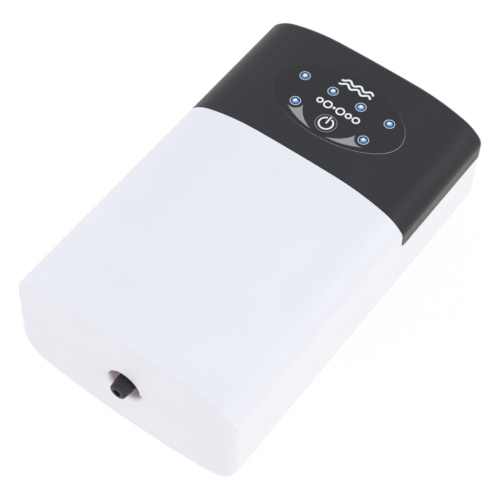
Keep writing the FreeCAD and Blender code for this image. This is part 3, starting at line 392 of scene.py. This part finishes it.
def cover_black():
    """Satin black plastic, a little browner on the cover's upright skirt, where a warm reflection of the
    floor is painted in.
    """
    paint = Paint("cover", (0.034, 0.034, 0.036), 0.33, specular=0.17)
    flat = paint.blend(paint.patches(MOULD_PATCH), (0.033, 0.033, 0.035), (0.035, 0.035, 0.037))
    # painted warm reflection of the floor, on the upright sides below the shoulder
    skirt = paint.ramp(paint.axes()["Z"], *SKIRT_REFLECTION_FADE, 1, 0)
    paint.colour(paint.blend(skirt, flat, (0.042, 0.036, 0.0355)))
    paint.gloss(0.04, MOULD_GLOSS)
    paint.grain(2400.0, 0.000010)
    return paint


def dress(node, paint):
    mesh = NODES[node].data
    mesh.materials.clear()
    mesh.materials.append(paint.mat)


def paint_nodes():
    white = shell_white()
    black = cover_black()
    smooth = {"grain": 1800.0, "drift": 0.04, "specular": 0.20}
    panel = plastic("panel", PANEL_BLACK, 0.34, depth=0.000004, **smooth)
    key = plastic("key", PANEL_BLACK, 0.36, depth=0.000005, **smooth)
    steel = metal("steel", (0.62, 0.62, 0.64), 0.32)
    nickel = metal("nickel", (0.66, 0.64, 0.58), 0.30, stretch=(900, 30, 900))
    brass = metal("brass", (0.72, 0.52, 0.22), 0.25, stretch=(900, 20, 900))
    chrome = metal("bezel", (0.70, 0.71, 0.76), 0.30, stretch=(400, 400, 40))
    tin = metal("can", (0.72, 0.73, 0.75), 0.34, stretch=(600, 600, 20))
    magnet = metal("magnet", (0.58, 0.58, 0.60), 0.22, stretch=(200, 200, 200))
    black_rubber = rubber("black_rubber", RUBBER_BLACK, 0.50)
    silicone = rubber("silicone", (0.72, 0.74, 0.75), 0.42)
    dark = plastic("dark_part", (0.030, 0.030, 0.032), 0.48, grain=1600.0, depth=0.00002)
    cream = plastic("cream_part", (0.68, 0.64, 0.52), 0.45)
    plug = plastic("plug", (0.78, 0.76, 0.68), 0.42)
    frame_grey = plastic("frame_part", (0.07, 0.07, 0.075), 0.50, grain=1500.0, depth=0.00002)
    arm_grey = plastic("arm_part", (0.62, 0.62, 0.60), 0.42)
    head_grey = plastic("head_part", (0.40, 0.42, 0.43), 0.44, grain=1400.0, depth=0.00002)
    red = plastic("red_lead", (0.50, 0.015, 0.012), 0.38, grain=1200.0)
    jet = plastic("black_lead", (0.015, 0.015, 0.015), 0.38, grain=1200.0)
    amber = plastic("yellow_lead", (0.60, 0.42, 0.05), 0.38, grain=1200.0)
    groups = {
        white: ["upper_shell", "lower_shell"],
        black: ["rear_cap"],
        panel: ["panel_overlay"],
        key: ["power_button"],
        steel: ["board_screws", "housing_screws", "frame_screws", "core_screws", "head_screws",
                "pivot_pin", "diaphragm_screw"],
        nickel: ["battery_tab_positive", "battery_tab_negative"],
        brass: ["charge_jack_pin"],
        chrome: ["led_bezels"],
        tin: ["storage_capacitor"],
        magnet: ["arm_magnets"],
        black_rubber: ["rubber_feet", "outlet_nozzle", "inlet_flap", "outlet_flap", "head_gasket"],
        silicone: ["air_hose"],
        dark: ["charge_jack", "driver_chip", "switch_plunger"],
        cream: ["tact_switch", "coil_bobbin"],
        plug: ["battery_plug", "coil_plug"],
        frame_grey: ["pump_frame"],
        arm_grey: ["swing_arm"],
        head_grey: ["pump_head", "head_cover", "valve_plate", "diaphragm_ring"],
        red: ["battery_lead_positive", "jack_lead_positive"],
        jet: ["battery_lead_negative", "jack_lead_negative"],
        amber: ["coil_lead_1", "coil_lead_2"],
        circuit_board(): ["control_board"],
        copper_coil(): ["coil_winding"],
        steel_stack(): ["magnet_core"],
        cell_wrap(): ["battery_cell"],
        fluffy("foam", (0.10, 0.10, 0.105), 900.0): ["battery_foam"],
        fluffy("felt", (0.78, 0.78, 0.75), 1400.0): ["intake_felt"],
    }
    for paint, names in groups.items():
        for name in names:
            dress(name, paint)
    for index in range(1, 7):
        lamp = f"led_{index}"
        dress(lamp, lamp_glow(f"lamp_{index}", middle_of(lamp)))


# ---------------------------------------------------------------- printed panel

low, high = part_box("panel_overlay")
PANEL = middle_of("panel_overlay")
PANEL_RX, PANEL_RY = (high.x - low.x) / 2, (high.y - low.y) / 2
BUTTON = middle_of("power_button")
BUTTON_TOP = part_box("power_button")[1].z
PRINT_LIFT, PRINT_SINK = 0.03 * MM, 0.08 * MM   # how far a print stands out of its surface and goes in
RAY_START = 0.1                                 # a height above the whole pump

# Measures below are in mm, with Y from the housing's middle.
HORN_TIP = (3.0, 31.1)                          # beside the button; X from the button's middle
HORN_INNER = ((7.6, 33.85), (10.4, 37.8))       # half way and end of the side towards the panel's middle
HORN_OUTER = ((9.3, 32.4), (14.85, 35.3))       # and of the other side
HORN_LAMP = (13.45, 37.74)
WAVES_Y, WAVE_LINE = (54.95, 53.15), 0.72
WAVE_START, WAVE_LONG, WAVE_HIGH, WAVE_TURN = -5.65, 12.2, 0.62, 1.5    # the last in radians per mm
BUBBLES = (1.2, 1.6, 0.50, 1.6, 1.2, 1.4)       # radii
BUBBLE_START, BUBBLE_Y, BUBBLE_GAP, BUBBLE_LINE = -7.65, 42.8, 0.36, 0.55
LINE_IN, LINE_OUT, LINE_SINK, LINE_SWELL = 0.20, 0.14, 0.15, 0.10       # the raised line round the panel
BUTTON_RING, STANDBY_RING = (3.44, 3.76), (2.10, 2.66)      # inner and outer radii
STANDBY_START, STANDBY_SWEEP = math.radians(108), math.radians(324)
STANDBY_BAR, STANDBY_LINE = (-0.1, 1.0, 2.1, 3.25), 0.52    # Y along the bar, from the button's middle
CROWN_R, SHOULDER_R, CROWN_TURN = 555.0, 64.85, 1.586       # the cover's top arcs, degrees of the first


def surface_of(*names):
    """Gives the height of the topmost of these nodes at a point."""
    trees = []
    for name in names:
        mesh = NODES[name].data
        trees.append(BVHTree.FromPolygons([v.co for v in mesh.vertices],
                                          [p.vertices for p in mesh.polygons]))

    def height(x, y):
        hits = [t.ray_cast(Vector((x, y, RAY_START)), Vector((0, 0, -1)))[0] for t in trees]
        return max(h.z for h in hits if h is not None)
    return height


def finished(name, mesh):
    """Turn a closed bmesh into a piece."""
    bmesh.ops.remove_doubles(mesh, verts=mesh.verts, dist=1e-7)
    bmesh.ops.recalc_face_normals(mesh, faces=mesh.faces)
    data = bpy.data.meshes.new(name)
    mesh.to_mesh(data)
    mesh.free()
    piece = bpy.data.objects.new(name, data)
    bpy.context.scene.collection.objects.link(piece)
    return piece


def ribbon(name, rows, lift, sink, height, closed=False, swell=0.0):
    """A thin closed plate that follows a surface: rows of (x, y) points, each row running across it."""
    across = len(rows[0])
    mesh = bmesh.new()
    top, under = [], []
    for row in rows:
        top_row, under_row = [], []
        for i, (x, y) in enumerate(row):
            z = height(x, y)
            bulge = swell * math.sin(math.pi * i / (across - 1))
            top_row.append(mesh.verts.new((x, y, z + lift + bulge)))
            under_row.append(mesh.verts.new((x, y, z - sink)))
        top.append(top_row)
        under.append(under_row)
    count = len(rows)
    for j in range(count if closed else count - 1):
        k = (j + 1) % count
        for i in range(across - 1):
            mesh.faces.new((top[j][i], top[j][i + 1], top[k][i + 1], top[k][i]))
            mesh.faces.new((under[j][i], under[k][i], under[k][i + 1], under[j][i + 1]))
        mesh.faces.new((top[j][0], top[k][0], under[k][0], under[j][0]))
        mesh.faces.new((top[j][-1], under[j][-1], under[k][-1], top[k][-1]))
    if not closed:
        for j, order in ((0, 1), (count - 1, -1)):
            for i in range(across - 1):
                ring = (top[j][i], under[j][i], under[j][i + 1], top[j][i + 1])
                mesh.faces.new(ring[::order])
    return finished(name, mesh)


def circle_rows(centre, inner, outer, start=0.0, sweep=math.tau, count=72, across=4, ratio=1.0):
    """Rows across a ring or part of one; ratio squeezes it along Y."""
    steps = count if sweep == math.tau else count - 1
    rows = []
    for j in range(count):
        angle = start + sweep * j / steps
        row = []
        for i in range(across):
            reach = inner + (outer - inner) * i / (across - 1)
            row.append((centre[0] + reach * math.cos(angle), centre[1] + reach * math.sin(angle) * ratio))
        rows.append(row)
    return rows


def stroke_rows(points, width, across=4):
    """Rows across a stroke of one width along a line of points."""
    rows = []
    for j, (x, y) in enumerate(points):
        ax, ay = points[max(j - 1, 0)]
        bx, by = points[min(j + 1, len(points) - 1)]
        size = math.hypot(bx - ax, by - ay)
        nx, ny = -(by - ay) / size, (bx - ax) / size
        sides = [width * (i / (across - 1) - 0.5) for i in range(across)]
        rows.append([(x + nx * side, y + ny * side) for side in sides])
    return rows


def curve_point(a, b, c, t):
    """Point of the quadratic curve from a to c that passes through b half way."""
    bx = 2 * b[0] - (a[0] + c[0]) / 2
    by = 2 * b[1] - (a[1] + c[1]) / 2
    u = 1 - t
    return (u * u * a[0] + 2 * u * t * bx + t * t * c[0], u * u * a[1] + 2 * u * t * by + t * t * c[1])


def crescent_rows(side):
    """Horn shape from a point beside the button to a hollow end round the lower lamp."""
    tip, lamp = HORN_TIP, HORN_LAMP
    inner_mid, inner = HORN_INNER
    outer_mid, outer = HORN_OUTER
    first = math.atan2(inner[1] - lamp[1], inner[0] - lamp[0]) % math.tau
    last = math.atan2(outer[1] - lamp[1], outer[0] - lamp[0]) % math.tau
    reach = math.hypot(inner[0] - lamp[0], inner[1] - lamp[1])

    def place(x, y):
        return BUTTON.x + side * x * MM, y * MM + BODY_Y

    rows = []
    count, across = 26, 13
    for j in range(count):
        t = j / (count - 1)
        a = curve_point(tip, inner_mid, inner, t)
        b = curve_point(tip, outer_mid, outer, t)
        row = []
        for i in range(across):
            s = i / (across - 1)
            angle = first + (last - first) * s
            end = (lamp[0] + reach * math.cos(angle), lamp[1] + reach * math.sin(angle))
            flat = ((1 - s) * inner[0] + s * outer[0], (1 - s) * inner[1] + s * outer[1])
            pull = t ** 3
            x = (1 - s) * a[0] + s * b[0] + pull * (end[0] - flat[0])
            y = (1 - s) * a[1] + s * b[1] + pull * (end[1] - flat[1])
            row.append(place(x, y))
        rows.append(row)
    # a tip a little wider than a point, so that its corners stay apart
    rows[0] = [place(tip[0] + 0.02 * i / across, tip[1] - 0.12 * i / across) for i in range(across)]
    return rows


def wave_rows(y, count=61):
    """A level water-wave stroke, as a plain mark."""
    points = []
    for j in range(count):
        x = WAVE_START + WAVE_LONG * j / (count - 1)
        points.append((x * MM, (y + WAVE_HIGH * math.sin(x * WAVE_TURN)) * MM + BODY_Y))
    return stroke_rows(points, WAVE_LINE * MM)


def ink(name, grey, rough, depth, drift):
    return plastic(name, grey, rough, grain=5000.0, depth=depth, drift=drift)


def plain_print(name, rows, height, closed=False):
    return ribbon(name, rows, PRINT_LIFT, PRINT_SINK, height, closed=closed)


def printed_panel():
    white = ink("white_ink", (0.86, 0.86, 0.86), 0.42, 0.000002, 0.02)
    grey = ink("grey_ink", (0.30, 0.30, 0.29), 0.45, 0.000003, 0.05)
    ring_grey = ink("ring_ink", (0.19, 0.19, 0.19), 0.45, 0.000002, 0.05)
    cover_prints(white, grey)
    panel_rim()
    button_prints(white, ring_grey)


def cover_prints(white, grey):
    """The horns, the waves and the row of bubbles."""
    height = surface_of("panel_overlay", "rear_cap")
    pieces = []
    for side, word in ((1, "right"), (-1, "left")):
        pieces.append((plain_print(f"horn_print_{word}", crescent_rows(side), height), grey))
    for index, y in enumerate(WAVES_Y, 1):
        pieces.append((plain_print(f"wave_print_{index}", wave_rows(y), height), white))
    left = BUBBLE_START
    for index, size in enumerate(BUBBLES, 1):
        centre = ((left + size) * MM, BUBBLE_Y * MM + BODY_Y)
        left += 2 * size + BUBBLE_GAP
        rows = circle_rows(centre, max(size - BUBBLE_LINE, 0.01) * MM, size * MM, count=48)
        pieces.append((plain_print(f"bubble_print_{index}", rows, height, closed=True), white))
    for piece, paint in pieces:
        piece.data.materials.append(paint.mat)
        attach(piece, "housing")


def panel_rim():
    """The raised line round the panel."""
    rows = circle_rows(PANEL, PANEL_RX - LINE_IN * MM, PANEL_RX + LINE_OUT * MM, count=160, across=7,
                       ratio=PANEL_RY / PANEL_RX)
    rim = ribbon("panel_rim", rows, 0.0, LINE_SINK * MM, smooth_crown(), closed=True,
                 swell=LINE_SWELL * MM)
    for face in rim.data.polygons:
        face.use_smooth = True
    rim.data.materials.append(rim_highlight_paint().mat)
    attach(rim, "housing")


def button_prints(white, ring_grey):
    """The button's ring and its standby symbol."""
    def level(x, y):
        return BUTTON_TOP

    spot = (BUTTON.x, BUTTON.y)
    ring = circle_rows(spot, BUTTON_RING[0] * MM, BUTTON_RING[1] * MM, across=3)
    arc = circle_rows(spot, STANDBY_RING[0] * MM, STANDBY_RING[1] * MM, STANDBY_START, STANDBY_SWEEP)
    bar = stroke_rows([(spot[0], spot[1] + y * MM) for y in STANDBY_BAR], STANDBY_LINE * MM)
    marks = [
        (plain_print("button_ring_print", ring, level, closed=True), ring_grey),
        (plain_print("standby_ring_print", arc, level), white),
        (plain_print("standby_bar_print", bar, level), white),
    ]
    for piece, paint in marks:
        piece.data.materials.append(paint.mat)
        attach(piece, "button")


def smooth_crown():
    """Gives the cover's own crowned height over the panel, free of its holes."""
    top = max(v.co.z for v in NODES["rear_cap"].data.vertices)
    big, small = CROWN_R * MM, SHOULDER_R * MM
    turn = math.radians(CROWN_TURN)
    knee = big * math.sin(turn)

    def height(x, y):
        x = abs(x)
        if x <= knee:
            return top - big + math.sqrt(big * big - x * x)
        centre_x = (big - small) * math.sin(turn)
        centre_z = top - big + (big - small) * math.cos(turn)
        return centre_z + math.sqrt(small * small - (x - centre_x) ** 2)
    return height


def rim_highlight_paint():
    """Rim that fades from the panel's black at the rear left to light grey at the front right, a painted
    highlight where the light catches it.
    """
    paint = Paint("panel_rim", (0.10, 0.10, 0.10), 0.28)
    axes = paint.axes()
    lean = paint.math("SUBTRACT", axes["X"], axes["Y"])
    # painted highlight, lightest towards the front right
    painted_highlight = paint.ramp(lean, -PANEL.y - 12 * MM, -PANEL.y + 20 * MM, 0, 1)
    paint.colour(paint.blend(painted_highlight, (0.012, 0.012, 0.012), (0.30, 0.30, 0.29)))
    paint.gloss(0.05, 600.0)
    paint.grain(2200.0, 0.000004)
    return paint


# ---------------------------------------------------------------- rubber diaphragm

# Measures in mm: X from the housing's middle, radii from the diaphragm's axis.
HUB_X, HUB_R = (4.05, 11.0), 4.0
BORE_END, BORE_R = 8.4, 1.3
RIM_X, RIM_R = (9.2, 12.0), (8.9, 11.5)
WEB_X, WEB_THICK = 9.7, 0.8
FOLD_R, FOLD_DEEP, FOLD_STEPS = (5.3, 7.7), 1.2, 14
CORNER, CORNER_IN = 0.2, 0.06   # a taken-off corner's size, and how far in its middle point lies
TUCK = 0.1                      # how far the web reaches into the hub and the rim
WEB_PARTS = 8


def turned(name, outline, middle, first=0.0, sweep=math.tau, steps=72):
    """A solid turned about the X direction through middle, from an outline of (x, radius) in mm.

    An outline that starts on the axis also ends there. A part turn takes the outline of a band,
    there and back, and is closed by a flat strip at each end.
    """
    whole = sweep == math.tau
    mesh = bmesh.new()
    rows = []
    for j in range(steps if whole else steps + 1):
        angle = first + sweep * j / steps
        y, z = math.cos(angle) * MM, math.sin(angle) * MM
        rows.append([mesh.verts.new((x * MM, middle.y + r * y, middle.z + r * z)) for x, r in outline])
    count = len(outline) if outline[0][1] > 0 else len(outline) - 1
    for j in range(steps):
        one, two = rows[j], rows[(j + 1) % len(rows)]
        for i in range(count):
            k = (i + 1) % len(outline)
            mesh.faces.new((one[i], one[k], two[k], two[i]))
    if not whole:
        for row in (rows[0], rows[-1]):
            for i in range(len(row) // 2 - 1):
                mesh.faces.new((row[i], row[i + 1], row[-2 - i], row[-1 - i]))
    return finished(name, mesh)


def soft_corner(x, r, right, up):
    """Three points that take off a corner, from its upright side; right and up lead into the rubber."""
    return [(x, r + up * CORNER), (x + right * CORNER_IN, r + up * CORNER_IN), (x + right * CORNER, r)]


def web_outline():
    """Thin web with one rolled fold towards the arm."""
    inner, outer = HUB_R - TUCK, RIM_R[0] + TUCK
    start, wide = FOLD_R[0], FOLD_R[1] - FOLD_R[0]
    radii = [inner, (inner + start) / 2]
    radii += [start + wide * i / FOLD_STEPS for i in range(FOLD_STEPS + 1)]
    radii += [(start + wide + outer) / 2, outer]
    front = []
    for r in radii:
        t = min(max((r - start) / wide, 0.0), 1.0)
        front.append((WEB_X - FOLD_DEEP * math.sin(math.pi * t) ** 2, r))
    return front + [(x + WEB_THICK, r) for x, r in reversed(front)]


def diaphragm():
    """The hub moves with the arm, the rim stays clamped and the web is built between them as fixed
    wedges.
    """
    axis = Vector((0, *middle_of("diaphragm").yz))
    hub = [(BORE_END, 0.0), (BORE_END, BORE_R), (HUB_X[0], BORE_R)]
    hub += soft_corner(HUB_X[0], HUB_R, 1, -1) + soft_corner(HUB_X[1], HUB_R, -1, -1)[::-1]
    hub += [(HUB_X[1], 0.0)]
    rim = soft_corner(RIM_X[0], RIM_R[1], 1, -1) + soft_corner(RIM_X[1], RIM_R[1], -1, -1)[::-1]
    rim += soft_corner(RIM_X[1], RIM_R[0], -1, 1) + soft_corner(RIM_X[0], RIM_R[0], 1, 1)[::-1]
    web = web_outline()
    pieces = [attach(turned("diaphragm_hub", hub, axis), "armature"),
              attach(turned("diaphragm_rim", rim, axis), "housing")]
    half = math.pi / WEB_PARTS
    for index in range(WEB_PARTS):
        angle = 2 * index * half
        piece = turned(f"diaphragm_web_{index + 1}", web, axis, angle - half, 2 * half, steps=9)
        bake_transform(piece)
        pieces.append(piece)
    paint = rubber("diaphragm_rubber", RUBBER_BLACK, 0.50)
    for piece in pieces:
        piece.data.materials.append(paint.mat)
        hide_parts("diaphragm")


make_camera()
make_studio()
make_floor()
paint_nodes()
printed_panel()
diaphragm()
